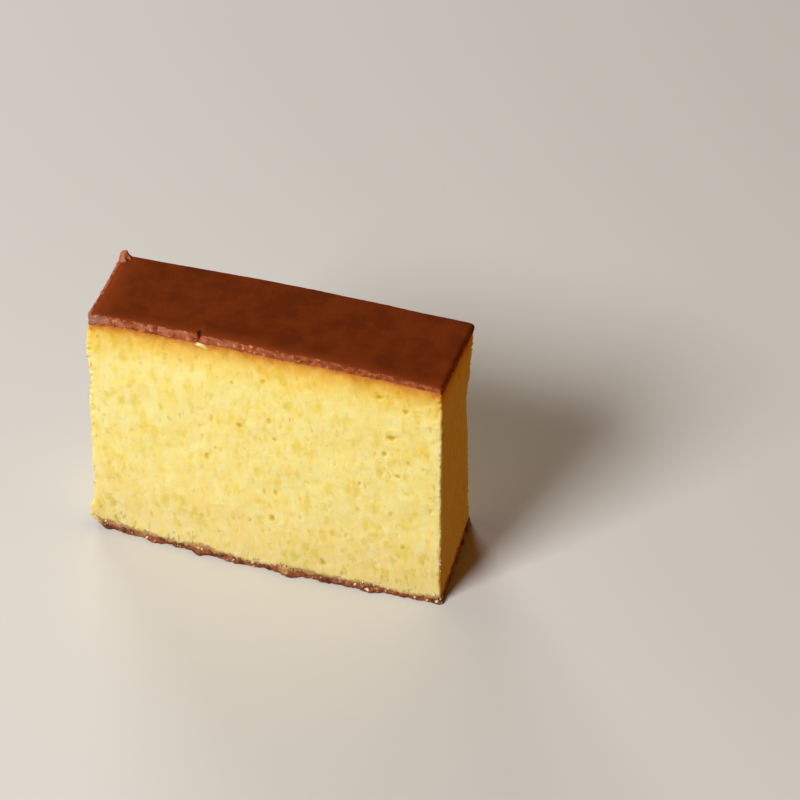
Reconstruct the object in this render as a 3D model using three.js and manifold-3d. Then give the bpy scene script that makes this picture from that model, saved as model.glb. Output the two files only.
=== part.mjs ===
// One slice of castella, a tall fine-crumbed sponge cake, standing on its base.
// Millimetres, +Z up. X runs along the slice, and -Y is its front cut face.
// The origin is the middle of the flat base.
import * as THREE from "three";
import { ImprovedNoise } from "three/addons/math/ImprovedNoise.js";
import { mergeVertices } from "three/addons/utils/BufferGeometryUtils.js";
import Module from "manifold-3d";

// The slab, cut thicker at the foot than at the top.
const HEIGHT = 71.7;
const TOP_LENGTH = 100.6;
const BASE_LENGTH = 104;
const TOP_THICKNESS = 26.4;
const FRONT_LEAN = 7.2; // the foot of the front face stands this far ahead of its top
const FOOT_BOW = { out: 1.7, x: 2, reach: 54 }; // and is bowed out further in the middle
const BACK_LEAN = 1.4;
const TOP_SKEW = 1.8; // the top is this much thicker at its right end
const LEFT_SKEW = 1.3; // the left end stands out this much more at the back than at the front
const TOP_CROWN = { high: 1.5, x: 8, reach: 60 };
const SHOULDERS = { left: { drop: 0.5, reach: 2.5 }, right: { drop: 0.6, reach: 1.6 } };
const RIGHT_PINCH = { deep: 2.4, fade: 30 }; // below the crust the right end draws in at the back
// The left end swells and draws in from top to foot.
const LEFT_SWELLS = [
  { z: 59, out: 0.9, reach: 11 },
  { z: 43, out: 0.6, reach: 8 },
  { z: 14, out: -0.5, reach: 16 },
  { z: 4.3, out: 0.8, reach: 4.5 },
];

// The baked skins. The sponge shrinks back a little beside them.
const CRUST_LEFT = 3.7;
const CRUST_RIGHT = 1.6;
const BASE_CRUST = 2.2;
const SPONGE_SETBACK = 0.3;
const UNDERCUT = 0.5; // the setback just under the top crust
const UNDERCUT_REACH = 1.3;
const EDGE_ROUND = 0.35;

// Each kind of unevenness has a depth and the span of one wave.
const KNIFE_WAVE = { deep: 0.35, span: 17 };
const CRUMB_WAVE = { deep: 0.25, span: 4.3 };
const RAGGED_FOOT = { deep: 0.5, span: 3.1 };
const TOP_WAVE = { deep: 0.25, span: 26 };
const CRUST_WAVE = { deep: 0.35, span: 9 };

// The crust's left edge was pulled up as the cake was trimmed, to a round knob at the back corner.
const RIM_TAGS = { deep: 0.5, span: 2.6 };
const RIM = { high: 0.35, inset: 0.5, reach: 1.3 };
const CURL = { high: 2.6, inset: 1.2, reach: 1.7 };

// The worn lower corner at the front left, and lumps of base crust along the front foot.
const CHIP = { high: 4.2, reach: 5.2, fade: 11 };
const FOOT_LUMPS = [
  { x: -31, wide: 3.5, out: 0.4 },
  { x: -18.3, wide: 2.4, out: 1.1 },
  { x: -8, wide: 4, out: 0.5 },
  { x: 8, wide: 3.6, out: 1.5 },
  { x: 17.5, wide: 2.5, out: 0.4 },
  { x: 30.5, wide: 4, out: 0.9 },
];

// A small flake is missing from the crust's front edge, and torn crumb stands out below it.
const NOTCH = { x: -18, wide: 1.8, deep: 1.6, high: 3 };
const TORN_CRUMB = { x: -16.8, z: 69.3, wide: 3.2, tall: 2.2, out: 0.7 };

// How finely the slab is divided. The grid is closer beside the edges.
const COLUMNS = 31;
const SHEETS = 12;
const SPONGE_LEVELS = 16;
const EDGE_CELLS = [0.7, 1.8];

const { lerp, seededRandom, degToRad } = THREE.MathUtils;
seededRandom(41);
const noise = new ImprovedNoise();
const wasm = await Module();
wasm.setup();

function between(low, high) {
  return lerp(low, high, seededRandom());
}

// A rounded hump: 1 at its middle, and 0 from its reach outwards.
function hump(away, reach) {
  return Math.max(0, 1 - (away / reach) ** 2) ** 2;
}

// Smooth unevenness between about -deep and deep. Each layer reads the noise in its own place.
const LAYER = { top: 1, crust: 2, rim: 3, left: 10, right: 20, front: 30, back: 40 };
const LAYER_SHIFT = 31.7;
const NOISE_GAIN = 1.6;

function uneven(x, y, z, { deep, span }, layer) {
  const shifted = x / span + LAYER_SHIFT * layer;
  return NOISE_GAIN * deep * noise.noise(shifted, y / span, z / span);
}

// The cut faces before their unevenness. Across runs from 0 at the left end to 1 at the right,
// and deep from 0 at the front to 1 at the back.
const halfLength = (z) => lerp(BASE_LENGTH, TOP_LENGTH, z / HEIGHT) / 2;
const acrossAt = (x, z) => (x / halfLength(z) + 1) / 2;
const backY = (z) => lerp(TOP_THICKNESS + BACK_LEAN, TOP_THICKNESS, z / HEIGHT);

function leftX(z, deep) {
  const swells = LEFT_SWELLS.map((swell) => swell.out * hump(z - swell.z, swell.reach));
  const swollen = swells.reduce((sum, out) => sum + out, 0);
  return LEFT_SKEW * (0.5 - deep) - halfLength(z) - swollen;
}

function rightX(z, deep) {
  return halfLength(z) - RIGHT_PINCH.deep * deep * (1 - hump(HEIGHT - z, RIGHT_PINCH.fade));
}

function frontY(z, across) {
  const x = (across - 0.5) * BASE_LENGTH;
  const foot = FRONT_LEAN + FOOT_BOW.out * hump(x - FOOT_BOW.x, FOOT_BOW.reach);
  return lerp(-foot, -TOP_SKEW * across, z / HEIGHT);
}

// The top is highest right of the middle, and rounds down at both ends.
function topHeight(x, y) {
  const crown = TOP_CROWN.high * (1 - ((x - TOP_CROWN.x) / TOP_CROWN.reach) ** 2);
  const { left, right } = SHOULDERS;
  const leftDrop = left.drop * hump(TOP_LENGTH / 2 + x, left.reach);
  const rightDrop = right.drop * hump(TOP_LENGTH / 2 - x, right.reach);
  const wave = uneven(x, y, 0, TOP_WAVE, LAYER.top);
  return HEIGHT + crown - leftDrop - rightDrop + wave + rimHeight(x, y);
}

// How far the pulled edge and its knob stand above the top.
function rimHeight(x, y) {
  const fromLeft = x + TOP_LENGTH / 2;
  const high = Math.max(0, RIM.high + uneven(0, y, 0, RIM_TAGS, LAYER.rim));
  const rim = high * hump(fromLeft - RIM.inset, RIM.reach);
  const away = Math.hypot(fromLeft - CURL.inset, TOP_THICKNESS - CURL.inset - y);
  const knob = CURL.high * Math.sqrt(Math.max(0, 1 - (away / CURL.reach) ** 2));
  return Math.max(rim, knob);
}

// The top crust is thick at the left and thins to the right.
function crustDepth(x, y) {
  const even = lerp(CRUST_LEFT, CRUST_RIGHT, x / TOP_LENGTH + 0.5);
  return even + uneven(x, y, 0, CRUST_WAVE, LAYER.crust);
}

// The levels of the foot and the head, with how far the wall stands back at each.
const FOOT = [
  { share: 0, back: EDGE_ROUND },
  { share: 0.5, back: 0 },
  { share: 1, back: 0 },
];
const HEAD = [
  { share: 0, below: UNDERCUT_REACH, back: SPONGE_SETBACK },
  { share: 0, below: UNDERCUT_REACH / 4, back: UNDERCUT },
  { share: 0, below: 0, back: 0.05 },
  { share: 0.5, below: 0, back: 0 },
  { share: 0.88, below: 0, back: 0.1 },
  { share: 1, below: 0, back: EDGE_ROUND },
];
const LEVELS = FOOT.length + SPONGE_LEVELS + HEAD.length;

function levelAt(k, x, y) {
  const top = topHeight(x, y);
  const crust = crustDepth(x, y);
  const head = k - FOOT.length - SPONGE_LEVELS;
  if (k < FOOT.length) {
    return { z: FOOT[k].share * BASE_CRUST, back: FOOT[k].back, foot: true };
  }
  if (head >= 0) {
    const { share, below, back } = HEAD[head];
    return { z: top - crust * (1 - share) - below, back, foot: false };
  }
  const share = (k - FOOT.length + 1) / (SPONGE_LEVELS + 1);
  const z = lerp(BASE_CRUST, top - crust - UNDERCUT_REACH, share);
  return { z, back: SPONGE_SETBACK, foot: false };
}

// How far a wall stands out from its plane.
function wallRelief(x, y, level, layer) {
  const knife = uneven(x, y, level.z, KNIFE_WAVE, layer);
  const crumb = uneven(x, y, level.z, CRUMB_WAVE, layer + 1);
  const ragged = level.foot ? uneven(x, y, level.z, RAGGED_FOOT, layer + 2) : 0;
  return knife + crumb + ragged - level.back;
}

function lumpRelief(x, level) {
  const lumps = FOOT_LUMPS.map((lump) => lump.out * hump(Math.abs(x - lump.x), lump.wide));
  return level.foot ? Math.max(...lumps) : 0;
}

// The worn corner lifts the foot, and the lift fades out along the edges and up the slice.
function chipLift(x, y, z) {
  const away = Math.hypot(x + BASE_LENGTH / 2, y + FRONT_LEAN);
  return CHIP.high * hump(away, CHIP.reach) * hump(z, CHIP.fade);
}

// Lines from 0 to 1 that divide a side of this length.
function gridLines(count, length) {
  const edge = EDGE_CELLS.map((reach) => reach / length);
  const wide = count - 2 * edge.length;
  const start = edge.at(-1);
  const inner = Array.from({ length: wide - 1 }, (_, i) => lerp(start, 1 - start, (i + 1) / wide));
  return [0, ...edge, ...inner, ...edge.map((line) => 1 - line).reverse(), 1];
}

const COLUMN_LINES = gridLines(COLUMNS, TOP_LENGTH);
const SHEET_LINES = gridLines(SHEETS, TOP_THICKNESS);

function slabPoint(i, j, k) {
  const across = COLUMN_LINES[i];
  const deep = SHEET_LINES[j];
  const nearX = (across - 0.5) * TOP_LENGTH;
  const nearY = deep * TOP_THICKNESS;
  const level = levelAt(k, nearX, nearY);
  const { z } = level;
  const cut = i % COLUMNS === 0 && j % SHEETS === 0 ? EDGE_ROUND : 0;
  const left = leftX(z, deep) - wallRelief(-halfLength(z), nearY, level, LAYER.left);
  const right = rightX(z, deep) + wallRelief(halfLength(z), nearY, level, LAYER.right);
  const front = frontY(z, across) - wallRelief(nearX, frontY(z, across), level, LAYER.front);
  const back = backY(z) + wallRelief(nearX, backY(z), level, LAYER.back);
  const x = lerp(left + cut, right - cut, across);
  const y = lerp(front + cut - lumpRelief(nearX, level), back - cut, deep);
  return [x, y, z + chipLift(x, y, z)];
}

function shapeSlab() {
  const steps = [COLUMNS, SHEETS, LEVELS - 1];
  const slab = new THREE.BoxGeometry(...steps, ...steps);
  slab.translate(COLUMNS / 2, SHEETS / 2, (LEVELS - 1) / 2);
  const points = slab.getAttribute("position");
  for (let n = 0; n < points.count; n += 1) {
    const cell = new THREE.Vector3().fromBufferAttribute(points, n).round();
    points.setXYZ(n, ...slabPoint(cell.x, cell.y, cell.z));
  }
  return slab;
}

// Air cells opened by the knife. The large ones of the front face have their own places.
const LARGE_CELLS = [
  { x: 40.4, z: 62.2, wide: 2.0, tall: 2.2 },
  { x: 36.7, z: 52.6, wide: 2.4, tall: 2.2 },
  { x: 34.9, z: 47.2, wide: 1.9, tall: 2.1 },
  { x: 33.1, z: 65.1, wide: 2.1, tall: 1.6 },
  { x: 2.2, z: 50.0, wide: 1.7, tall: 2.1 },
  { x: 3.9, z: 44.2, wide: 1.8, tall: 1.7 },
  { x: 1.0, z: 26.3, wide: 1.7, tall: 3.0 },
  { x: 3.3, z: 17.7, wide: 2.3, tall: 2.4 },
  { x: -6.2, z: 46.4, wide: 2.2, tall: 1.6 },
  { x: 0.5, z: 61.9, wide: 1.6, tall: 1.9 },
  { x: 38.7, z: 40.6, wide: 2.0, tall: 1.8 },
  { x: 40.8, z: 17.0, wide: 1.8, tall: 1.8 },
  { x: 18.0, z: 6.6, wide: 1.8, tall: 3.0 },
  { x: -8.4, z: 59.6, wide: 1.4, tall: 1.6 },
];
const SMALL_CELL = { least: 1.0, most: 1.8, stretch: 1.7 };
const SMALL_CELLS = { front: 22, back: 30, left: 7, right: 7 };
const CELL_DEPTH = 0.55; // of its width, below the face
const CELL_MARGIN = 3.5; // small cells keep this far from edges and crusts
const CELL_TILT = 25;

// The hollow of one cell, in a wall that is turned by yaw from the front face.
function shapeCell(place, yaw, wide, tall, rounds) {
  const hollow = new THREE.IcosahedronGeometry(0.5, rounds);
  hollow.rotateX(between(0, Math.PI));
  hollow.scale(wide, 2 * CELL_DEPTH * wide, tall);
  hollow.rotateY(degToRad(between(-CELL_TILT, CELL_TILT)));
  hollow.rotateZ(yaw);
  hollow.translate(...place);
  return hollow;
}

// A point on a cut face: share runs along it from 0 to 1.
function wallPoint(face, share, z) {
  const x = lerp(-1, 1, share) * (halfLength(z) - CELL_MARGIN);
  const y = lerp(frontY(z, 0) + CELL_MARGIN, backY(z) - CELL_MARGIN, share);
  return {
    front: [x, frontY(z, acrossAt(x, z)) + SPONGE_SETBACK, z],
    back: [x, backY(z) - SPONGE_SETBACK, z],
    left: [leftX(z, share) + SPONGE_SETBACK, y, z],
    right: [rightX(z, share) - SPONGE_SETBACK, y, z],
  }[face];
}

function airCells() {
  const cells = LARGE_CELLS.map(({ x, z, wide, tall }) => {
    const place = [x, frontY(z, acrossAt(x, z)) + SPONGE_SETBACK, z];
    return shapeCell(place, 0, wide, tall, 1);
  });
  Object.entries(SMALL_CELLS).forEach(([face, count]) => {
    const yaw = face === "left" || face === "right" ? Math.PI / 2 : 0;
    for (let n = 0; n < count; n += 1) {
      const z = between(BASE_CRUST + CELL_MARGIN, HEIGHT - CRUST_LEFT - CELL_MARGIN);
      const wide = between(SMALL_CELL.least, SMALL_CELL.most);
      const tall = wide * between(1, SMALL_CELL.stretch);
      cells.push(shapeCell(wallPoint(face, seededRandom(), z), yaw, wide, tall, 0));
    }
  });
  return cells;
}

function crustNotch() {
  const notch = new THREE.IcosahedronGeometry(0.5, 1);
  notch.scale(NOTCH.wide, 2 * NOTCH.deep, NOTCH.high);
  const front = frontY(HEIGHT, acrossAt(NOTCH.x, HEIGHT));
  notch.translate(NOTCH.x, front, topHeight(NOTCH.x, front) - NOTCH.high / 4);
  return notch;
}

function tornCrumb() {
  const { x, z, wide, tall, out } = TORN_CRUMB;
  const crumb = new THREE.IcosahedronGeometry(0.5, 1);
  crumb.scale(wide, 2 * out, tall);
  crumb.translate(x, frontY(z, acrossAt(x, z)), z);
  return crumb;
}

function solidOf(geometry) {
  const bare = geometry.deleteAttribute("normal").deleteAttribute("uv");
  const merged = mergeVertices(bare, 1e-4);
  return new wasm.Manifold(
    new wasm.Mesh({
      numProp: 3,
      vertProperties: merged.getAttribute("position").array,
      triVerts: new Uint32Array(merged.index.array),
    }),
  );
}

function geometryOf(solid) {
  const { vertProperties, triVerts } = solid.getMesh();
  const geometry = new THREE.BufferGeometry();
  geometry.setAttribute("position", new THREE.BufferAttribute(vertProperties, 3));
  geometry.setIndex(new THREE.BufferAttribute(triVerts, 1));
  return geometry;
}

function sliceGeometry() {
  let slice = solidOf(shapeSlab()).add(solidOf(tornCrumb()));
  [...airCells(), crustNotch()].forEach((hollow) => {
    slice = slice.subtract(solidOf(hollow));
  });
  const geometry = geometryOf(slice);
  geometry.computeBoundingBox();
  const middle = geometry.boundingBox.getCenter(new THREE.Vector3());
  geometry.translate(-middle.x, -middle.y, -geometry.boundingBox.min.z);
  geometry.computeVertexNormals();
  return geometry;
}

const sponge = new THREE.MeshStandardMaterial({ color: 0xf3d779, roughness: 0.85, metalness: 0 });
const slice = new THREE.Mesh(sliceGeometry(), sponge);
slice.name = "castella_slice";

const castella = new THREE.Group();
castella.add(slice);
export default castella;
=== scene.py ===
import math

import bpy
import numpy as np
from mathutils import Matrix, Vector


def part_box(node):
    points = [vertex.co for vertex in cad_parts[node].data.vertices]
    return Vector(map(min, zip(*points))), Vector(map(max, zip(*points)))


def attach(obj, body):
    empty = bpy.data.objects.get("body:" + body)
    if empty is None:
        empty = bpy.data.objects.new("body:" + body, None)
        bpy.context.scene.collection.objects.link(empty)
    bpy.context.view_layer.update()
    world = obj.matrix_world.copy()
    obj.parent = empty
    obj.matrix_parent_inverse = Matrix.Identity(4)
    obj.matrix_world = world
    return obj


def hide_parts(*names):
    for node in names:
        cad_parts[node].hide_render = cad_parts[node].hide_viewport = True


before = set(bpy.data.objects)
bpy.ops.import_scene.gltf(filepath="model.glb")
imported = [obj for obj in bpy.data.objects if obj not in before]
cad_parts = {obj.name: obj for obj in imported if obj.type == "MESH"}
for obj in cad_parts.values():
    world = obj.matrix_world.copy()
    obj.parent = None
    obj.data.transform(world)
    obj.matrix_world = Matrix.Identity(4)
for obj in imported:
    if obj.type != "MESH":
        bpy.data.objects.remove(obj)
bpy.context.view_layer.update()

# ---------------------------------------------------------------------------------------------
# The sponge: a fine, moist, egg-yellow crumb, baked as a tall loaf and sawn into slices with a
# long knife. The blade leaves each cut face a little wavy and opens its air cells, which the
# rising batter stretched upwards. Close under the baked skins the crumb is amber.
# ---------------------------------------------------------------------------------------------
MM = 0.001  # sizes are in millimetres, and add_piece() turns them into metres
SLAB_X = 0.34  # the slab's own middle, in the frame
FRONT_TOP_Y = -9.22  # the front face's top edge, in the frame
HEIGHT = 71.7
TOP_LENGTH = 100.6
BASE_LENGTH = 104.0
TOP_THICKNESS = 26.4
# How far the faces lean out at the foot, and how far the top and the left end are out of square.
FRONT_LEAN = 7.2
BACK_LEAN = 1.4
TOP_SKEW = 1.8
LEFT_SKEW = 1.3
FOOT_BOW = {"out": 1.7, "x": 2.0, "reach": 54.0}
TOP_CROWN = {"high": 1.5, "x": 8.0, "reach": 60.0}
SHOULDERS = {"left": {"drop": 0.5, "reach": 2.5}, "right": {"drop": 0.35, "reach": 1.0}}
RIGHT_PINCH = {"deep": 2.4, "fade": 30.0}
# The left end's swells up its height, and a hollow where out is below 0.
LEFT_SWELLS = [
    {"z": 59.0, "out": 0.9, "reach": 11.0},
    {"z": 43.0, "out": 0.6, "reach": 8.0},
    {"z": 14.0, "out": -0.5, "reach": 16.0},
    {"z": 4.3, "out": 0.8, "reach": 4.5},
]
TOP_UNEVEN = 0.15
# The top crust's depth along the slab, from its own middle.
CRUST_DEPTHS = {-50: 3.5, -40: 3.0, -30: 3.1, -20: 3.2, -10: 2.65, 0: 3.0, 10: 2.8, 20: 2.5, 30: 2.3,
                40: 2.05, 50: 1.8}
CRUST_UNEVEN = 0.08
BASE_CRUST = 2.2
BASE_UNEVEN = 0.4
# Where the base crust's upper edge dips along the slab, or rises where down is below 0.
BASE_DIPS = [
    {"x": -44.0, "wide": 7.0, "down": -0.7},
    {"x": -28.0, "wide": 12.0, "down": 0.8},
    {"x": -17.5, "wide": 5.0, "down": -0.8},
    {"x": -3.0, "wide": 10.0, "down": 0.9},
    {"x": 39.0, "wide": 12.0, "down": 1.0},
]
# The front left corner of the foot is worn: its foot is lifted, and most of its base crust is gone.
CHIP = {"high": 4.2, "reach": 5.2, "fade": 11.0}
WORN = {"reach": 5.0, "share": 0.9}
TORN_CRUMB = {"x": -16.8, "z": 69.3, "long": 3.9, "tall": 2.1, "tilt": -23.0, "out": 0.7}
FRAY = {"deep": 0.3, "reach": 2.5}
FOOT_FRAY = {"deep": 0.15, "reach": 6.0}
# How far in from its foot and its upright edges the cut face is painted with the shade of pits.
ROUGH_RIM = {"foot": 7.0, "edge": 5.0}
KNIFE_WAVE = 0.2
CRUMB_WAVE = 0.08
SPONGE_SETBACK = 0.2
# The sponge starts inside the base crust, at this share of its height, and ends inside the top crust.
SPONGE_START = 0.3
SPONGE_OVERLAP = 0.5
EDGE_CUT = 0.2
SPONGE_GRID = (380, 110, 250)
MOST_TRIANGLES = 190000
BOX_MARGIN = 0.02


def lerp(low, high, share):
    return low + (high - low) * share


def hump(away, reach):
    """1 at the middle of a rounded hump, and 0 from its reach outwards."""
    return np.maximum(0, 1 - (away / reach) ** 2) ** 2


def make_waves(seed, span):
    """Smooth unevenness between about -1 and 1: a sum of waves of about this span, every which way."""
    count = 24
    draw = np.random.default_rng(seed)
    ways = draw.normal(size=(count, 3))
    ways /= np.linalg.norm(ways, axis=1)[:, None]
    ways *= 2 * np.pi / (span * draw.uniform(0.7, 1.5, count))[:, None]
    starts = draw.uniform(0, 2 * np.pi, count)

    def wave(x, y, z):
        places = np.stack(np.broadcast_arrays(x, y, z), -1)
        return np.cos(places @ ways.T + starts).sum(-1) / (1.6 * math.sqrt(count))

    return wave


knife_wave = make_waves(seed=5, span=17)
crumb_wave = make_waves(seed=6, span=3.4)
top_wave = make_waves(seed=7, span=30)
crust_wave = make_waves(seed=8, span=9)
fray_wave = make_waves(seed=9, span=1.5)
# A flat surface reads a wave at one level, and at a far level the same wave gives another pattern.
TOP_LEVEL = 0
BASE_LEVEL = 40


def half_length(z):
    return lerp(BASE_LENGTH, TOP_LENGTH, z / HEIGHT) / 2


def front_y(across, z):
    """The front face leans forward to its foot, which is bowed out in the middle."""
    bow = FOOT_BOW["out"] * hump((across - 0.5) * BASE_LENGTH - FOOT_BOW["x"], FOOT_BOW["reach"])
    return FRONT_TOP_Y - lerp(FRONT_LEAN + bow, TOP_SKEW * across, z / HEIGHT)


def back_y(z):
    return FRONT_TOP_Y + TOP_THICKNESS + lerp(BACK_LEAN, 0, z / HEIGHT)


def left_x(z, deep):
    swollen = sum(swell["out"] * hump(z - swell["z"], swell["reach"]) for swell in LEFT_SWELLS)
    return SLAB_X + LEFT_SKEW * (0.5 - deep) - half_length(z) - swollen


def right_x(z, deep):
    """Below its crust the right end draws in towards the back."""
    drawn_in = RIGHT_PINCH["deep"] * deep * (1 - hump(HEIGHT - z, RIGHT_PINCH["fade"]))
    return SLAB_X + half_length(z) - drawn_in


def top_height(x, y):
    """The top is highest a little right of the middle, and rounds down at both ends."""
    along = x - SLAB_X
    crown = TOP_CROWN["high"] * (1 - ((along - TOP_CROWN["x"]) / TOP_CROWN["reach"]) ** 2)
    left, right = SHOULDERS["left"], SHOULDERS["right"]
    left_drop = left["drop"] * hump(TOP_LENGTH / 2 + along, left["reach"])
    right_drop = right["drop"] * hump(TOP_LENGTH / 2 - along, right["reach"])
    return HEIGHT + crown - left_drop - right_drop + TOP_UNEVEN * top_wave(x, y, TOP_LEVEL)


def crust_depth(x, y):
    """The top crust is thick at the left and thins to the right."""
    depth = np.interp(x - SLAB_X, list(CRUST_DEPTHS), list(CRUST_DEPTHS.values()))
    return depth + CRUST_UNEVEN * crust_wave(x, y, TOP_LEVEL)


def from_worn_corner(x, y):
    """How far a place is from the foot's front left corner."""
    return np.hypot(x - SLAB_X + BASE_LENGTH / 2, y - FRONT_TOP_Y + FRONT_LEAN)


def foot_top(x, y):
    """The base crust's upper side. The crust dips in places, and is worn away at the worn corner."""
    dips = sum(dip["down"] * hump(x - SLAB_X - dip["x"], dip["wide"]) for dip in BASE_DIPS)
    from_corner = np.hypot(x - SLAB_X + TOP_LENGTH / 2, y - FRONT_TOP_Y)
    kept = 1 - WORN["share"] * hump(from_corner, WORN["reach"])
    return (BASE_CRUST - dips + BASE_UNEVEN * crust_wave(x, y, BASE_LEVEL)) * kept


def chip_lift(x, y, z):
    """The worn corner at the front left lifts the foot, less and less up the slice."""
    return CHIP["high"] * hump(from_worn_corner(x, y), CHIP["reach"]) * hump(z, CHIP["fade"])


def box_shell(grid):
    """A closed box grid: its points as shares of length, thickness and height, the sides that each
    lies on, and its quads."""
    on_shell = np.zeros([cells + 1 for cells in grid], bool)
    on_shell[[0, -1]] = on_shell[:, [0, -1]] = on_shell[:, :, [0, -1]] = True
    ids = np.full(on_shell.shape, -1)
    ids[on_shell] = np.arange(on_shell.sum())
    quads = []
    for axis in range(3):
        for end in (0, -1):
            side = np.take(ids, end, axis)
            ring = [side[:-1, :-1], side[1:, :-1], side[1:, 1:], side[:-1, 1:]]
            if (end == 0) != (axis == 1):
                ring.reverse()
            quads.append(np.stack(ring, -1).reshape(-1, 4))
    shares = np.argwhere(on_shell) / grid
    sides = (shares == 1).astype(int) - (shares == 0)
    return shares, sides, np.concatenate(quads)


def flat_place(shares):
    """Where these shares of the length and thickness lie on the slab's top."""
    x = SLAB_X + (shares[:, 0] - 0.5) * TOP_LENGTH
    y = FRONT_TOP_Y + shares[:, 1] * TOP_THICKNESS
    return x, y


def between_walls(shares, sides, z, relief):
    """The slab's points at these heights. relief says how far a cut face stands out at a place."""
    across, deep = shares[:, 0], shares[:, 1]
    near_x, near_y = flat_place(shares)
    left = left_x(z, deep)
    right = right_x(z, deep)
    front = front_y(across, z)
    back = back_y(z)
    x = lerp(left - relief(left, near_y, z), right + relief(right, near_y, z), across)
    y = lerp(front - relief(near_x, front, z), back + relief(near_x, back, z), deep)
    points = np.stack([x, y, z + chip_lift(x, y, z)], -1)
    on_edge = (sides != 0).sum(1) > 1
    return points - EDGE_CUT * sides * on_edge[:, None]


def add_piece(name, points, quads, **values):
    """A smooth mesh piece, in metres, with each of the values as an attribute of its points."""
    mesh = bpy.data.meshes.new(name)
    mesh.from_pydata((points * MM).tolist(), [], quads.tolist())
    mesh.polygons.foreach_set("use_smooth", [True] * len(mesh.polygons))
    for key, value in values.items():
        data = mesh.attributes.new(key, "FLOAT", "POINT").data
        data.foreach_set("value", np.broadcast_to(value, len(points)).astype(np.float32))
    mesh.update()
    piece = bpy.data.objects.new(name, mesh)
    bpy.context.scene.collection.objects.link(piece)
    return piece


def add_node(tree, kind, feeds=None, **settings):
    """A new node. feeds gives its inputs, by name or number, a socket to link or a plain value."""
    made = tree.nodes.new(kind)
    for key, value in settings.items():
        setattr(made, key, value)
    for key, value in (feeds or {}).items():
        if isinstance(value, bpy.types.NodeSocket):
            tree.links.new(value, made.inputs[key])
        else:
            made.inputs[key].default_value = value
    return made


def calc(tree, operation, *values):
    return add_node(tree, "ShaderNodeMath", dict(enumerate(values)), operation=operation).outputs[0]


def vector_calc(tree, operation, *values):
    feeds = dict(enumerate(values))
    if operation == "SCALE":
        feeds = {0: values[0], "Scale": values[1]}
    made = add_node(tree, "ShaderNodeVectorMath", feeds, operation=operation)
    return made.outputs["Value" if operation == "LENGTH" else "Vector"]


def map_range(tree, value, low, high, to_low=0.0, to_high=1.0, kind="LINEAR"):
    feeds = {"Value": value, "From Min": low, "From Max": high, "To Min": to_low, "To Max": to_high}
    return add_node(tree, "ShaderNodeMapRange", feeds, interpolation_type=kind).outputs[0]


def noise(tree, place, span, detail=2.0, rough=0.5):
    """Noise from 0 to 1 whose lumps are about this span apart."""
    feeds = {"Vector": place, "Scale": 1 / span, "Detail": detail, "Roughness": rough}
    return add_node(tree, "ShaderNodeTexNoise", feeds).outputs["Fac"]


def stretch_up(tree, place, rise):
    """A pattern read at the returned place is this many times as tall, as the rise drew the cells."""
    squeeze = add_node(tree, "ShaderNodeCombineXYZ", {0: 1.0, 1: 1.0, 2: calc(tree, "DIVIDE", 1.0, rise)})
    return vector_calc(tree, "MULTIPLY", place, squeeze.outputs[0])


def warp(tree, place, scale, strength):
    """Shifts a place about by noise, so that the cells laid out there get uneven rims."""
    drift = add_node(tree, "ShaderNodeTexNoise", {"Vector": place, "Scale": scale, "Detail": 2.0})
    drift = vector_calc(tree, "SUBTRACT", drift.outputs["Color"], (0.5, 0.5, 0.5))
    return vector_calc(tree, "ADD", place, vector_calc(tree, "SCALE", drift, strength))


def add_inputs(tree, **values):
    """Gives a node group its named inputs, spaces written as underscores, and returns their sockets."""
    kinds = {float: "NodeSocketFloat", tuple: "NodeSocketVector"}
    for key, value in values.items():
        kind = kinds[type(value)]
        socket = tree.interface.new_socket(key.replace("_", " "), in_out="INPUT", socket_type=kind)
        socket.default_value = value
    return tree.nodes.new("NodeGroupInput").outputs


def start_rule(name, **sizes):
    """A Geometry Nodes tree with its named inputs."""
    tree = bpy.data.node_groups.new(name, "GeometryNodeTree")
    tree.interface.new_socket("Geometry", in_out="INPUT", socket_type="NodeSocketGeometry")
    tree.interface.new_socket("Geometry", in_out="OUTPUT", socket_type="NodeSocketGeometry")
    tree.interface.new_socket("Material", in_out="INPUT", socket_type="NodeSocketMaterial")
    return tree, add_inputs(tree, **sizes)


def end_rule(tree, geometry, material):
    realized = add_node(tree, "GeometryNodeRealizeInstances", {"Geometry": geometry}).outputs[0]
    painted = add_node(tree, "GeometryNodeSetMaterial", {"Geometry": realized, "Material": material})
    add_node(tree, "NodeGroupOutput", {0: painted.outputs[0]})
    return tree


def read_mesh(tree):
    """A point's place in millimetres, its normal, and how level the surface is, from 0 upright to 1."""
    place = tree.nodes.new("GeometryNodeInputPosition").outputs[0]
    normal = tree.nodes.new("GeometryNodeInputNormal").outputs[0]
    level = calc(tree, "ABSOLUTE", add_node(tree, "ShaderNodeSeparateXYZ", {0: normal}).outputs["Z"])
    return vector_calc(tree, "SCALE", place, 1 / MM), normal, level


def push(tree, geometry, normal, far, way):
    """Moves each point along its normal by this many millimetres: out where way is 1, in where -1."""
    offset = vector_calc(tree, "SCALE", normal, calc(tree, "MULTIPLY", far, way * MM))
    return add_node(tree, "GeometryNodeSetPosition", {"Geometry": geometry, "Offset": offset}).outputs[0]


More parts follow.
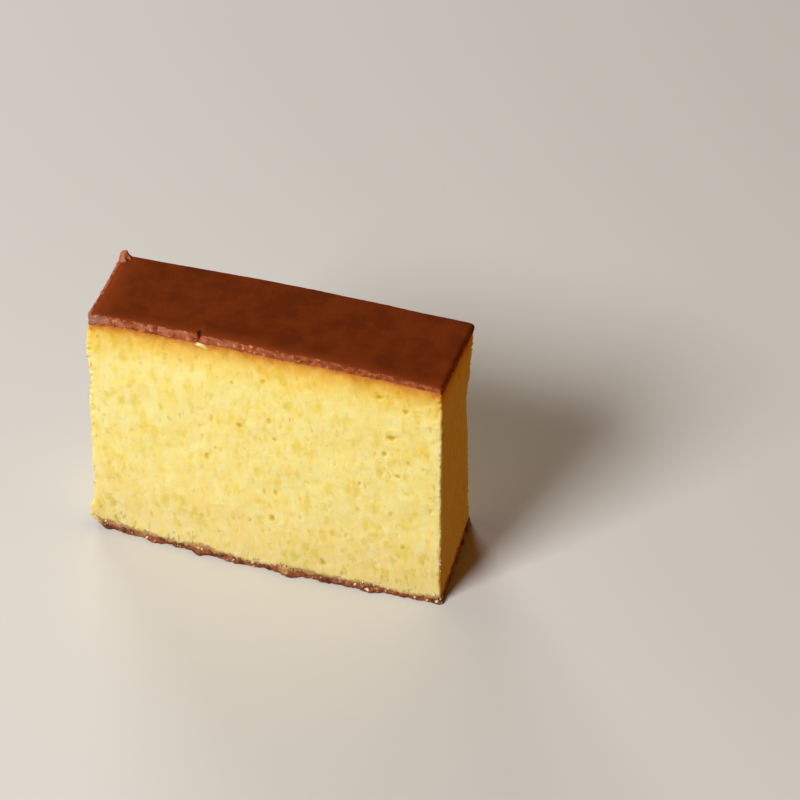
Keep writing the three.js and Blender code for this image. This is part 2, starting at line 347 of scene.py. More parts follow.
def make_cell_rule():
    """Opens air cells in the upright faces. Cut open, each one is a soft dish with an uneven rim."""
    tree, given = start_rule("open air cells", Spacing=1.0, Least_Radius=0.2, Most_Radius=0.5, Open_Share=0.5,
                             Rise=1.3, Unevenness=0.3, Deepest=1.0, Seed=0.0)
    place, normal, level = read_mesh(tree)
    shifted = vector_calc(tree, "ADD", stretch_up(tree, place, given["Rise"]), given["Seed"])
    scaled = vector_calc(tree, "DIVIDE", shifted, given["Spacing"])
    warped = warp(tree, scaled, 1.1, given["Unevenness"])
    cells = add_node(tree, "ShaderNodeTexVoronoi", {"Vector": warped, "Scale": 1.0})
    away = vector_calc(tree, "SUBTRACT", warped, cells.outputs["Position"])
    away = vector_calc(tree, "MULTIPLY", away, given["Spacing"])
    draw = add_node(tree, "FunctionNodeSeparateColor", {0: cells.outputs["Color"]}).outputs
    mostly_small = calc(tree, "POWER", draw[0], 1.8)
    size = map_range(tree, mostly_small, 0.0, 1.0, given["Least Radius"], given["Most Radius"])
    radius = calc(tree, "MULTIPLY", size, calc(tree, "LESS_THAN", draw[1], given["Open Share"]))
    share = calc(tree, "DIVIDE", vector_calc(tree, "LENGTH", away), calc(tree, "MAXIMUM", radius, 0.001))
    depth = map_range(tree, share, 0.3, 1.0, given["Deepest"], 0.0, kind="SMOOTHSTEP")
    cut_face = calc(tree, "LESS_THAN", level, 0.75)
    sink = calc(tree, "MULTIPLY", depth, cut_face)
    before = add_node(tree, "GeometryNodeInputNamedAttribute", {"Name": "hollow"}, data_type="FLOAT")
    stored = add_node(tree, "GeometryNodeStoreNamedAttribute", {
        "Geometry": push(tree, given["Geometry"], normal, sink, way=-1),
        "Name": "hollow",
        "Value": calc(tree, "ADD", before.outputs[0], sink),
    }, data_type="FLOAT", domain="POINT")
    return end_rule(tree, stored.outputs[0], given["Material"])


def make_roughen_rule():
    """Raises and sinks the surface by fine noise, with a depth of its own where it is level."""
    tree, given = start_rule("roughen", Depth=0.1, Flat_Depth=0.1, Span=1.0, Detail=2.0)
    place, normal, level = read_mesh(tree)
    scaled = vector_calc(tree, "DIVIDE", place, given["Span"])
    lumps = noise(tree, scaled, 1.0, detail=given["Detail"])
    depth = map_range(tree, level, 0.6, 0.85, given["Depth"], given["Flat Depth"])
    out = calc(tree, "MULTIPLY", map_range(tree, lumps, 0.25, 0.75, -1.0, 1.0), depth)
    return end_rule(tree, push(tree, given["Geometry"], normal, out, way=1), given["Material"])


def add_rule(piece, tree, **values):
    """Runs a Geometry Nodes tree on a piece. Its inputs are set by name, spaces as underscores."""
    rule = piece.modifiers.new(tree.name, "NODES")
    rule.node_group = tree
    for item in tree.interface.items_tree:
        key = item.name.replace(" ", "_").lower()
        if item.in_out == "INPUT" and key in values:
            rule[item.identifier] = values[key]


def bake(piece):
    """Turns the piece, as its rules leave it, into a plain mesh, not too fine and inside the slice's box."""
    full = sum(len(face.vertices) - 2 for face in piece.data.polygons)
    if full > MOST_TRIANGLES:
        piece.modifiers.new("thin", "DECIMATE").ratio = MOST_TRIANGLES / full
    graph = bpy.context.evaluated_depsgraph_get()
    made = bpy.data.meshes.new_from_object(piece.evaluated_get(graph), depsgraph=graph)
    piece.modifiers.clear()
    piece.data = made
    made.name = piece.name
    low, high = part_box("castella_slice")
    margin = BOX_MARGIN * MM
    points = np.empty(len(made.vertices) * 3, np.float32)
    made.vertices.foreach_get("co", points)
    points = np.clip(points.reshape(-1, 3), np.array(low) + margin, np.array(high) - margin)
    made.vertices.foreach_set("co", points.ravel())
    made.update()


def paint(code):
    """A colour written as a web code, in linear light."""
    parts = [int(code[n:n + 2], 16) / 255 for n in (1, 3, 5)]
    return (*[part / 12.92 if part < 0.04045 else ((part + 0.055) / 1.055) ** 2.4 for part in parts], 1.0)


def mix(tree, share, low, high, blend="MIX"):
    """Blends two colours. The node's inputs and output for colours go by these numbers."""
    feeds = {0: share, 6: low, 7: high}
    return add_node(tree, "ShaderNodeMix", feeds, data_type="RGBA", blend_type=blend).outputs[2]


def attribute(tree, name):
    return add_node(tree, "ShaderNodeAttribute", attribute_name=name).outputs["Fac"]


def new_material(name, **settings):
    """A material with its plain values set on the shader, and its places in millimetres."""
    material = bpy.data.materials.new(name)
    material.use_nodes = True
    tree = material.node_tree
    shader = tree.nodes["Principled BSDF"]
    for key, value in settings.items():
        shader.inputs[key.replace("_", " ")].default_value = value
    place = tree.nodes.new("ShaderNodeTexCoord").outputs["Object"]
    return material, tree, shader, vector_calc(tree, "SCALE", place, 1 / MM)


def grain_cells(tree, place, span, closed_share, widest):
    """Masks the open cells of a cut: 1 inside them, with soft, uneven rims. Some stay closed."""
    warped = warp(tree, vector_calc(tree, "DIVIDE", place, span), 1.3, 1.8)
    feeds = {"Vector": warped, "Scale": 1.0, "Smoothness": 0.3}
    cells = add_node(tree, "ShaderNodeTexVoronoi", feeds, feature="SMOOTH_F1")
    draw = add_node(tree, "ShaderNodeSeparateColor", {0: cells.outputs["Color"]}).outputs[0]
    radius = map_range(tree, draw, closed_share, 1.0, 0.01, widest)
    share = calc(tree, "DIVIDE", cells.outputs["Distance"], radius)
    return map_range(tree, share, 0.1, 1.0, 1.0, 0.0, kind="SMOOTHSTEP")


def make_grain_group():
    """Cut crumb: soft patches, streaks drawn upwards by the rise, and open cells, large and fine."""
    tree = bpy.data.node_groups.new("crumb grain", "ShaderNodeTree")
    for name in ("Patches", "Streaks", "Blotches", "Cells", "Height"):
        tree.interface.new_socket(name, in_out="OUTPUT", socket_type="NodeSocketFloat")
    given = add_inputs(tree, Place=(0.0, 0.0, 0.0), Cell_Span=0.8, Blotch_Span=2.4, Patch_Span=6.0, Rise=1.5)
    place = stretch_up(tree, given["Place"], given["Rise"])
    patch_place = vector_calc(tree, "DIVIDE", place, given["Patch Span"])
    patches = noise(tree, patch_place, 1.0, detail=3.0, rough=0.6)
    streak_place = vector_calc(tree, "MULTIPLY", given["Place"], (0.5, 0.5, 0.22))
    streaks = noise(tree, streak_place, 1.0)
    blotches = grain_cells(tree, place, given["Blotch Span"], 0.15, 0.95)
    cells = grain_cells(tree, place, given["Cell Span"], 0.4, 0.6)
    fine = noise(tree, vector_calc(tree, "DIVIDE", place, given["Cell Span"]), 0.35, detail=3.0, rough=0.6)
    height = calc(tree, "SUBTRACT", calc(tree, "MULTIPLY", fine, 0.6), cells)
    add_node(tree, "NodeGroupOutput", {0: patches, 1: streaks, 2: blotches, 3: cells, 4: height})
    return tree


grain_group = make_grain_group()


def add_grain(tree, place, **values):
    grain = add_node(tree, "ShaderNodeGroup", node_tree=grain_group)
    tree.links.new(place, grain.inputs["Place"])
    for key, value in values.items():
        grain.inputs[key.replace("_", " ")].default_value = value
    return grain.outputs


def add_bump(tree, shader, height, distance):
    """Fine grain on the shader's normal, with its depth in millimetres."""
    bump = add_node(tree, "ShaderNodeBump", {"Height": height, "Distance": distance * MM, "Strength": 1.0})
    tree.links.new(bump.outputs[0], shader.inputs["Normal"])


# The crumb's colours: creamy and warmer patches, and the deeper yellow of its streaks. The deeper yellow of
# its cells and the olive of its pits are painted shade.
CRUMB = {
    "pale": paint("#FFE99F"),
    "warm": paint("#FFE28A"),
    "streak": paint("#F4DC7A"),
    "deep": paint("#EAD45A"),
    "cell": paint("#D0B21E"),
    "pit_shade": paint("#B09C48"),
    "torn": paint("#F6E0A0"),
    "torn_tip": paint("#E6C47E"),
    "stain": paint("#A8683C"),
}
# How strongly each part of the grain shows.
GRAIN_SHOWS = {"streaks": 0.5, "blotches": 0.76, "cells": 0.32, "pit_shades": 0.6}
CRUMB_GRAIN = 0.03
# How the crumb is tinted as it nears the top crust, by its distance from it in millimetres.
SKIN_TINTS = {0.0: (0.55, 0.22, 0.10), 0.5: (0.64, 0.30, 0.12), 1.0: (0.70, 0.39, 0.14),
              1.5: (0.74, 0.47, 0.18), 2.0: (0.78, 0.56, 0.235), 2.8: (0.83, 0.65, 0.31),
              4.0: (0.89, 0.76, 0.42), 6.0: (0.95, 0.88, 0.61), 8.0: (0.98, 0.94, 0.76),
              11.0: (1.0, 1.0, 1.0)}
TINT_REACH = max(SKIN_TINTS)
TINT_DRIFT = 0.7
# Towards its foot the crumb is painted a little darker, as painted shade, and next to the base crust it is
# stained brown.
FOOT_PAINTED_SHADE = {"least": (0.85, 0.89, 0.93), "reach": 24.0}
FOOT_STAIN = {"share": 0.75, "high": 0.9, "drift": 2.4}


def tint_near_skins(tree, place, colour):
    """Turns the crumb amber towards the top crust, to an uneven depth, and paints shade on it towards its
    foot.
    """
    drift = map_range(tree, noise(tree, place, 3.2, detail=3.0), 0.3, 0.7, -TINT_DRIFT, TINT_DRIFT)
    depth = calc(tree, "ADD", attribute(tree, "from_skin"), drift)
    ramp = add_node(tree, "ShaderNodeValToRGB", {0: calc(tree, "DIVIDE", depth, TINT_REACH)})
    stops = ramp.color_ramp.elements
    while len(stops) < len(SKIN_TINTS):
        stops.new(0.5)
    for stop, (far, tint) in zip(stops, SKIN_TINTS.items()):
        stop.position = far / TINT_REACH
        stop.color = (*tint, 1)
    colour = mix(tree, 1.0, colour, ramp.outputs[0], "MULTIPLY")
    # Painted shade: the crumb darkens towards its foot.
    shaded = map_range(tree, attribute(tree, "above_foot"), 0.0, FOOT_PAINTED_SHADE["reach"], 1.0, 0.0)
    return mix(tree, shaded, colour, (*FOOT_PAINTED_SHADE["least"], 1.0), "MULTIPLY")


def make_crumb_material():
    material, tree, shader, place = new_material(
        "castella crumb", Roughness=0.85, Specular_IOR_Level=0.2, Subsurface_Weight=1.0,
        Subsurface_Radius=(1.0, 0.9, 0.45), Subsurface_Scale=1.8 * MM,
    )
    grain = add_grain(tree, place, Cell_Span=1.5, Blotch_Span=2.8, Patch_Span=3.5, Rise=1.8)
    colour = mix(tree, map_range(tree, grain["Patches"], 0.4, 0.6), CRUMB["pale"], CRUMB["warm"])
    streaks = map_range(tree, grain["Streaks"], 0.5, 0.7, 0.0, GRAIN_SHOWS["streaks"])
    colour = mix(tree, streaks, colour, CRUMB["streak"])
    blotches = calc(tree, "MULTIPLY", grain["Blotches"], GRAIN_SHOWS["blotches"])
    colour = mix(tree, blotches, colour, CRUMB["deep"])
    # Painted shade: the cells are painted a deeper yellow, as light deepens inside them.
    colour = mix(tree, calc(tree, "MULTIPLY", grain["Cells"], GRAIN_SHOWS["cells"]), colour, CRUMB["cell"])
    # Painted shade: near the foot and the upright edges, the cells are painted as dark olive pits.
    pit_shade_mask = calc(tree, "MULTIPLY", grain["Cells"], attribute(tree, "rough_rim"))
    colour = mix(tree, calc(tree, "MULTIPLY", pit_shade_mask, GRAIN_SHOWS["pit_shades"]), colour, CRUMB["pit_shade"])
    # Painted shade: the opened cells are painted a deeper yellow by their depth.
    colour = mix(tree, map_range(tree, attribute(tree, "hollow"), 0.03, 0.3), colour, CRUMB["cell"])
    colour = tint_near_skins(tree, place, colour)
    drift = calc(tree, "MULTIPLY", calc(tree, "SUBTRACT", noise(tree, place, 1.6), 0.5), FOOT_STAIN["drift"])
    stained = calc(tree, "ADD", attribute(tree, "above_foot"), drift)
    stained = map_range(tree, stained, 0.0, FOOT_STAIN["high"], FOOT_STAIN["share"], 0.0)
    colour = mix(tree, stained, colour, CRUMB["stain"])
    torn = mix(tree, attribute(tree, "torn_tip"), CRUMB["torn"], CRUMB["torn_tip"])
    colour = mix(tree, attribute(tree, "torn"), colour, torn)
    tree.links.new(colour, shader.inputs["Base Color"])
    add_bump(tree, shader, grain["Height"], CRUMB_GRAIN)
    return material


# Large cells of the front face, by their places from the slab's middle and their sizes.
LARGE_CELLS = [
    {"x": 40.4, "z": 62.2, "wide": 2.0, "tall": 2.2},
    {"x": 36.7, "z": 52.6, "wide": 2.4, "tall": 2.2},
    {"x": 34.9, "z": 47.2, "wide": 1.9, "tall": 2.1},
    {"x": 33.1, "z": 65.1, "wide": 2.1, "tall": 1.6},
    {"x": 2.2, "z": 50.0, "wide": 1.7, "tall": 2.1},
    {"x": 3.9, "z": 44.2, "wide": 1.8, "tall": 1.7},
    {"x": 1.0, "z": 26.3, "wide": 1.7, "tall": 3.0},
    {"x": 3.3, "z": 17.7, "wide": 2.3, "tall": 2.4},
    {"x": -6.2, "z": 46.4, "wide": 2.2, "tall": 1.6},
    {"x": 0.5, "z": 61.9, "wide": 1.6, "tall": 1.9},
    {"x": 38.7, "z": 40.6, "wide": 2.0, "tall": 1.8},
    {"x": 40.8, "z": 17.0, "wide": 1.8, "tall": 1.8},
    {"x": 18.0, "z": 6.6, "wide": 1.8, "tall": 3.0},
    {"x": -8.4, "z": 59.6, "wide": 1.4, "tall": 1.6},
]
LARGE_CELL_DEPTH = 0.14  # of its width


def dish(points, middle_x, middle_z, wide, tall):
    """1 at the middle of a roughly oval dish in the front face, and 0 from its uneven rim outwards."""
    along = (points[:, 0] - SLAB_X - middle_x) / wide * 2
    above = (points[:, 2] - middle_z) / tall * 2
    uneven = 0.5 * fray_wave(points[:, 0], 0, points[:, 2])
    return np.clip(1 - (along**2 + above**2) * (1 + uneven), 0, 1)


def torn_flake(points):
    """How far the torn flake stands up, as a share, and how near a point is to its tip. Towards the
    tip it narrows and thins, and its edge is frayed."""
    turn = math.radians(TORN_CRUMB["tilt"])
    along, above = points[:, 0] - SLAB_X - TORN_CRUMB["x"], points[:, 2] - TORN_CRUMB["z"]
    far = (along * math.cos(turn) + above * math.sin(turn)) / TORN_CRUMB["long"] + 0.5
    wide = np.abs(above * math.cos(turn) - along * math.sin(turn)) / TORN_CRUMB["tall"]
    tip = np.clip(far, 0, 1)
    frayed = 0.2 * fray_wave(points[:, 0], 0, points[:, 2])
    from_edge = np.minimum(0.5 * (1.1 - 0.7 * tip) - wide, 1.4 * np.minimum(far, 1 - far))
    return np.clip(5 * (from_edge + 0.3 * frayed), 0, 1) * (1 - 0.5 * tip), tip


def from_upright_edge(x, y, z):
    """How far a place is from the nearest of the four upright edges."""
    from_end = SLAB_X + half_length(z) - x
    from_end = np.maximum(0, np.minimum(from_end, 2 * half_length(z) - from_end))
    across = np.clip((x - SLAB_X) / BASE_LENGTH + 0.5, 0, 1)
    from_side = np.maximum(0, np.minimum(y - front_y(across, z), back_y(z) - y))
    return np.hypot(from_end, from_side)


def edge_fray(x, y, z):
    """The cut is frayed along its upright edges and its foot."""
    upright = FRAY["deep"] * hump(from_upright_edge(x, y, z), FRAY["reach"])
    return fray_wave(x, y, z) * np.maximum(upright, FOOT_FRAY["deep"] * hump(z, FOOT_FRAY["reach"]))


def sponge_relief(x, y, z):
    waves = KNIFE_WAVE * knife_wave(x, y, z) + CRUMB_WAVE * crumb_wave(x, y, z)
    return waves + edge_fray(x, y, z) - SPONGE_SETBACK


def shape_sponge():
    shares, sides, quads = box_shell(SPONGE_GRID)
    near_x, near_y = flat_place(shares)
    underside = top_height(near_x, near_y) - crust_depth(near_x, near_y)
    z = lerp(SPONGE_START * foot_top(near_x, near_y), underside + SPONGE_OVERLAP, shares[:, 2])
    points = between_walls(shares, sides, z, sponge_relief)
    on_front = sides[:, 1] < 0
    hollow = np.zeros(len(points))
    for cell in LARGE_CELLS:
        share = dish(points, cell["x"], cell["z"], cell["wide"], cell["tall"])
        hollow = np.maximum(hollow, LARGE_CELL_DEPTH * cell["wide"] * share * on_front)
    torn, torn_tip = torn_flake(points)
    torn *= on_front
    points[:, 1] += hollow - TORN_CRUMB["out"] * torn
    above_foot = points[:, 2] - foot_top(near_x, near_y) - chip_lift(points[:, 0], points[:, 1], 0)
    near_edge = hump(from_upright_edge(*points.T), ROUGH_RIM["edge"])
    return add_piece(
        "sponge", points, quads, hollow=hollow, torn=np.minimum(1, 2 * torn), torn_tip=torn_tip,
        from_skin=underside - z, above_foot=above_foot,
        rough_rim=np.maximum(near_edge, hump(above_foot, ROUGH_RIM["foot"])),
    )


cell_rule = make_cell_rule()
roughen_rule = make_roughen_rule()
crumb_material = make_crumb_material()
sponge = shape_sponge()
add_rule(sponge, cell_rule, spacing=6.0, least_radius=0.6, most_radius=1.3, open_share=0.5, rise=1.5,
         unevenness=0.5, deepest=0.22, seed=3.1, material=crumb_material)
add_rule(sponge, cell_rule, spacing=3.0, least_radius=0.5, most_radius=1.1, open_share=0.6, rise=1.8,
         unevenness=0.7, deepest=0.14, seed=1.7, material=crumb_material)
add_rule(sponge, roughen_rule, depth=0.07, flat_depth=0.0, span=1.4, detail=3.0, material=crumb_material)
bake(sponge)
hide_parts("castella_slice")
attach(sponge, "root")

# ---------------------------------------------------------------------------------------------
# The top crust: the loaf's baked skin, smooth, brown and a little satiny from its sugar. Sawn
# through, its edge shows a firmer, pinkish-brown crumb. A flake is missing from the front edge,
# and the left edge was pulled up as the loaf was trimmed, to a round knob at the back corner.
# ---------------------------------------------------------------------------------------------
RIM = {"high": 0.3, "tags": 0.6, "inset": 0.3, "reach": 1.1}
KNOB = {"high": 2.6, "inset": 1.2, "reach": 2.0, "uneven": 0.25}
NOTCH = {"x": -18.0, "wide": 2.0, "deep": 1.6, "high": 3.0}
# The crust's cut is smooth at the top and grows ragged down to this depth.
SKIN_DEEP = 1.2
CUT_RAGGED = 0.12
UNDERSIDE_RAGGED = 0.2
CRUST_GRID = (420, 124, 16)

rim_wave = make_waves(seed=11, span=2.6)
ragged_wave = make_waves(seed=12, span=1.5)
KNOB_LEVEL = 30

CRUST = {
    "skin": paint("#682A0B"),
    "dark_skin": paint("#5A230A"),
    "rim": paint("#7A3414"),
    "cut": paint("#AC5A2E"),
    "pink_cut": paint("#B66E50"),
    "dark_cut": paint("#7E381C"),
    "pale_cut": paint("#A0705C"),
    "painted_glint": paint("#D09068"),
    "under": paint("#A86230"),
    "gap": paint("#562010"),
    "lifted": paint("#A8664A"),
}
# The skin is lighter near the left and front edges. The cut is painted palest at the front left corner, as a
# painted highlight, and less and less pink to the right, and along the top's edges the shine is worn off.
RIM_GLOW = {"left": 9.0, "front": 3.5, "front_share": 0.6}
END_HIGHLIGHT = {"along": 9.0, "back": 9.0}
PINKISH = {"mid": 0.5, "fade": 60.0, "least": 0.15}
DULL_EDGE = {"reach": 1.2, "rough": 0.9}
CRUST_GRAIN = 0.3


def rim_height(x, y):
    """How far the pulled edge and its knob stand above the top."""
    from_left = x - SLAB_X + TOP_LENGTH / 2
    high = np.maximum(0, RIM["high"] + RIM["tags"] * rim_wave(0, y, TOP_LEVEL))
    rim = high * hump(from_left - RIM["inset"], RIM["reach"])
    away = np.hypot(from_left - KNOB["inset"], FRONT_TOP_Y + TOP_THICKNESS - KNOB["inset"] - y)
    away = away * (1 + KNOB["uneven"] * ragged_wave(x, y, KNOB_LEVEL)) / KNOB["reach"]
    return np.maximum(rim, KNOB["high"] * np.maximum(0, 1 - away**2) ** 1.2)


def notch_depth(x, y, z):
    """The missing flake is a little angular pit in the front edge."""
    along = np.abs(x - SLAB_X - NOTCH["x"]) / NOTCH["wide"] * 2
    below = np.abs(z - top_height(x, y)) / NOTCH["high"] * 2
    return NOTCH["deep"] * np.clip(1.6 * (1 - along - 0.6 * below), 0, 1) * (y < 0)


def shape_top_crust():
    shares, sides, quads = box_shell(CRUST_GRID)
    near_x, near_y = flat_place(shares)
    low = top_height(near_x, near_y) - crust_depth(near_x, near_y)
    low = low + UNDERSIDE_RAGGED * ragged_wave(near_x, near_y, TOP_LEVEL)
    lifted = rim_height(near_x, near_y)
    high = top_height(near_x, near_y) + lifted
    z = lerp(low, high, shares[:, 2])

    def relief(x, y, z):
        in_cut = np.clip((top_height(x, y) - z) / SKIN_DEEP, 0, 1)
        ragged = CUT_RAGGED * in_cut * ragged_wave(x, y, z)
        return KNIFE_WAVE * knife_wave(x, y, z) + ragged - notch_depth(x, y, z)

    points = between_walls(shares, sides, z, relief)
    # Painted shade: the notch in the front edge is painted dark, as shade falls in it.
    gap = notch_depth(near_x, FRONT_TOP_Y - TOP_SKEW * shares[:, 0], z) * (sides[:, 1] < 0)
    from_left = near_x - SLAB_X + TOP_LENGTH / 2
    front_glow = RIM_GLOW["front_share"] * hump(near_y - FRONT_TOP_Y, RIM_GLOW["front"])
    rim = np.maximum(hump(from_left, RIM_GLOW["left"]), front_glow)
    pinkish = np.clip(PINKISH["mid"] - (near_x - SLAB_X) / PINKISH["fade"], PINKISH["least"], 1)
    from_end = TOP_LENGTH / 2 - np.abs(near_x - SLAB_X)
    from_face = TOP_THICKNESS / 2 - np.abs(near_y - FRONT_TOP_Y - TOP_THICKNESS / 2)
    edge = hump(np.minimum(from_end, from_face), DULL_EDGE["reach"])
    pale_end = hump(from_left, END_HIGHLIGHT["along"]) * hump(near_y - FRONT_TOP_Y, END_HIGHLIGHT["back"])
    return add_piece(
        "top_crust", points, quads, hollow=0, edge=edge, gap=gap, below_top=high - z, above_crumb=z - low,
        rim=rim, lifted=lifted, pale_end=pale_end, pinkish=pinkish,
    )


def make_top_crust_material():
    material, tree, shader, place = new_material(
        "castella top crust", Specular_IOR_Level=0.12, Subsurface_Weight=0.2,
        Subsurface_Radius=(1.0, 0.5, 0.25), Subsurface_Scale=1.0 * MM,
    )
    grain = add_grain(tree, place, Cell_Span=0.9, Blotch_Span=2.0, Patch_Span=7.0, Rise=1.0)
    skin = mix(tree, map_range(tree, grain["Patches"], 0.4, 0.6), CRUST["dark_skin"], CRUST["skin"])
    mottle = noise(tree, place, 1.6, detail=4.0, rough=0.6)
    skin = mix(tree, map_range(tree, mottle, 0.5, 0.75, 0.0, 0.3), skin, CRUST["dark_skin"])
    skin = mix(tree, attribute(tree, "rim"), skin, CRUST["rim"])
    # The pulled-up edge and knob show the paler cut crust, and are partly a painted highlight where they
    # catch the light.
    skin = mix(tree, map_range(tree, attribute(tree, "lifted"), 0.05, 0.3), skin, CRUST["lifted"])
    lights = map_range(tree, noise(tree, place, 1.5, detail=3.0), 0.4, 0.6)
    cut = mix(tree, lights, CRUST["dark_cut"], CRUST["cut"])
    pinks = map_range(tree, noise(tree, place, 3.2), 0.45, 0.6, 0.0, 0.9)
    cut = mix(tree, calc(tree, "MULTIPLY", pinks, attribute(tree, "pinkish")), cut, CRUST["pink_cut"])
    # Painted highlight: the cut is painted paler towards the front left corner, where it catches most light.
    cut = mix(tree, attribute(tree, "pale_end"), cut, CRUST["pale_cut"])
    # Painted highlight: small pale glints on the cut, where its moist crumb would catch the light.
    painted_glints = map_range(tree, noise(tree, place, 1.3), 0.6, 0.72)
    cut = mix(tree, painted_glints, cut, CRUST["painted_glint"])
    near_crumb = map_range(tree, attribute(tree, "above_crumb"), 0.1, 0.5, 0.7, 0.0)
    cut = mix(tree, near_crumb, cut, CRUST["under"])
    # Painted shade: the opened cells of the cut are painted darker by their depth.
    cut = mix(tree, map_range(tree, attribute(tree, "hollow"), 0.05, 0.3, 0.0, 0.5), cut, CRUST["dark_cut"])
    below_top = attribute(tree, "below_top")
    ragged = map_range(tree, below_top, 0.05, 0.3, 0.0, 3.0)
    ragged = calc(tree, "MULTIPLY", calc(tree, "SUBTRACT", mottle, 0.5), ragged)
    cut_share = map_range(tree, calc(tree, "ADD", below_top, ragged), 0.1, 0.5)
    colour = mix(tree, cut_share, skin, cut)
    # Painted shade in the notch.
    colour = mix(tree, map_range(tree, attribute(tree, "gap"), 0.1, 0.6), colour, CRUST["gap"])
    tree.links.new(colour, shader.inputs["Base Color"])
    rough = map_range(tree, mottle, 0.3, 0.7, 0.42, 0.56)
    rough = calc(tree, "MAXIMUM", rough, calc(tree, "MULTIPLY", cut_share, 0.8))
    rough = calc(tree, "MAXIMUM", rough, calc(tree, "MULTIPLY", attribute(tree, "edge"), DULL_EDGE["rough"]))
    tree.links.new(rough, shader.inputs["Roughness"])
    soft = calc(tree, "MULTIPLY", mottle, map_range(tree, cut_share, 0.0, 1.0, 0.1, 0.8))
    add_bump(tree, shader, soft, CRUST_GRAIN)
    return material


top_crust_material = make_top_crust_material()
top_crust = shape_top_crust()
add_rule(top_crust, cell_rule, spacing=1.9, least_radius=0.2, most_radius=0.6, open_share=0.6, rise=1.0,
         unevenness=0.4, deepest=0.25, seed=2.3, material=top_crust_material)
add_rule(top_crust, roughen_rule, depth=0.1, flat_depth=0.015, span=1.4, detail=3.0,
         material=top_crust_material)
bake(top_crust)
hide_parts("castella_slice")
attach(top_crust, "root")

# ---------------------------------------------------------------------------------------------
# The base crust: the thin red-brown skin that baked against the paper. Peeling the paper and
# sawing left it ragged, with lumps that stand out along the front foot.
# ---------------------------------------------------------------------------------------------
FOOT_LUMPS = [
    {"x": -31.0, "wide": 3.5, "out": 0.4},
    {"x": -18.3, "wide": 2.4, "out": 1.1},
    {"x": -8.0, "wide": 4.0, "out": 0.5},
    {"x": 8.0, "wide": 3.6, "out": 1.5},
    {"x": 17.5, "wide": 2.5, "out": 0.4},
    {"x": 30.5, "wide": 4.0, "out": 0.9},
]
# The crust stands a little proud of the sponge up to a height, and sinks into it at its top.
FOOT_EDGE = {"proud": 0.1, "high": 1.0, "sunk": 0.4}
FOOT_FRAYED = {"wide": 0.25, "ragged": 0.15, "fine": 0.1}
# Its upper edge is toothed, but never lower than this share of its height.
TEETH = {"ragged": 0.6, "fine": 0.5, "least": 0.4}
BASE_GRID = (460, 140, 12)

foot_wave = make_waves(seed=21, span=3.1)
tooth_wave = make_waves(seed=22, span=1.0)
TEETH_LEVEL = 90

BASE = {
    "skin": paint("#8A4C2A"),
    "dark_skin": paint("#542A14"),
    "red": paint("#8E4832"),
    "ochre": paint("#A0743A"),
    "crumb": paint("#DABC7E"),
    "worn": paint("#E6CA88"),
}


def foot_relief(x, y, z):
    """How far the base crust stands out of a side: its waves and raggedness, and the front's lumps."""
    lumps = sum(lump["out"] * hump(x - SLAB_X - lump["x"], lump["wide"]) for lump in FOOT_LUMPS) * (y < 0)
    frayed = FOOT_FRAYED["wide"] * foot_wave(x, y, z) + FOOT_FRAYED["ragged"] * ragged_wave(x, y, z)
    frayed = frayed + FOOT_FRAYED["fine"] * tooth_wave(x, y, z)
    up = np.clip((z - FOOT_EDGE["high"]) / (BASE_CRUST - FOOT_EDGE["high"]), 0, 1)
    sunk = lerp(FOOT_EDGE["proud"], -FOOT_EDGE["sunk"], up)
    return sunk + KNIFE_WAVE * knife_wave(x, y, z) + frayed + lumps * hump(z, 2 * BASE_CRUST)


def shape_base_crust():
    shares, sides, quads = box_shell(BASE_GRID)
    near_x, near_y = flat_place(shares)
    teeth = TEETH["ragged"] * ragged_wave(near_x, near_y, TEETH_LEVEL)
    teeth = teeth + TEETH["fine"] * tooth_wave(near_x, near_y, TEETH_LEVEL)
    top = foot_top(near_x, near_y)
    z = np.maximum(top + teeth * top / BASE_CRUST, TEETH["least"] * top) * shares[:, 2]
    points = between_walls(shares, sides, z, foot_relief)
    worn = hump(from_worn_corner(points[:, 0], points[:, 1]), WORN["reach"])
    return add_piece("base_crust", points, quads, hollow=0, above_foot=z, worn=worn)


def make_base_crust_material():
    material, tree, shader, place = new_material(
        "castella base crust", Specular_IOR_Level=0.2, Roughness=0.75, Subsurface_Weight=0.3,
        Subsurface_Radius=(1.0, 0.5, 0.25), Subsurface_Scale=0.8 * MM,
    )
    lumps = noise(tree, place, 2.2, detail=4.0, rough=0.6)
    colour = mix(tree, map_range(tree, lumps, 0.38, 0.58), BASE["dark_skin"], BASE["skin"])
    red_place = vector_calc(tree, "ADD", place, (40.0, 0.0, 0.0))
    reds = map_range(tree, noise(tree, red_place, 3.0), 0.48, 0.62)
    colour = mix(tree, reds, colour, BASE["red"])
    ochres = map_range(tree, noise(tree, place, 3.4), 0.52, 0.66)
    colour = mix(tree, ochres, colour, BASE["ochre"])
    bits = map_range(tree, noise(tree, place, 0.9), 0.64, 0.7, 0.0, 0.7)
    colour = mix(tree, bits, colour, BASE["crumb"])
    near_crumb = map_range(tree, attribute(tree, "above_foot"), 1.8, 2.9, 0.0, 0.8)
    colour = mix(tree, near_crumb, colour, BASE["crumb"])
    colour = mix(tree, map_range(tree, attribute(tree, "worn"), 0.1, 0.5), colour, BASE["worn"])
    tree.links.new(colour, shader.inputs["Base Color"])
    add_bump(tree, shader, lumps, CRUST_GRAIN)
    return material


base_crust_material = make_base_crust_material()
base_crust = shape_base_crust()
add_rule(base_crust, cell_rule, spacing=1.8, least_radius=0.25, most_radius=0.6, open_share=0.5, rise=1.0,
         unevenness=0.5, deepest=0.3, seed=4.9, material=base_crust_material)
add_rule(base_crust, roughen_rule, depth=0.15, flat_depth=0.0, span=1.3, detail=3.0,
         material=base_crust_material)
bake(base_crust)
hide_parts("castella_slice")
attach(base_crust, "root")

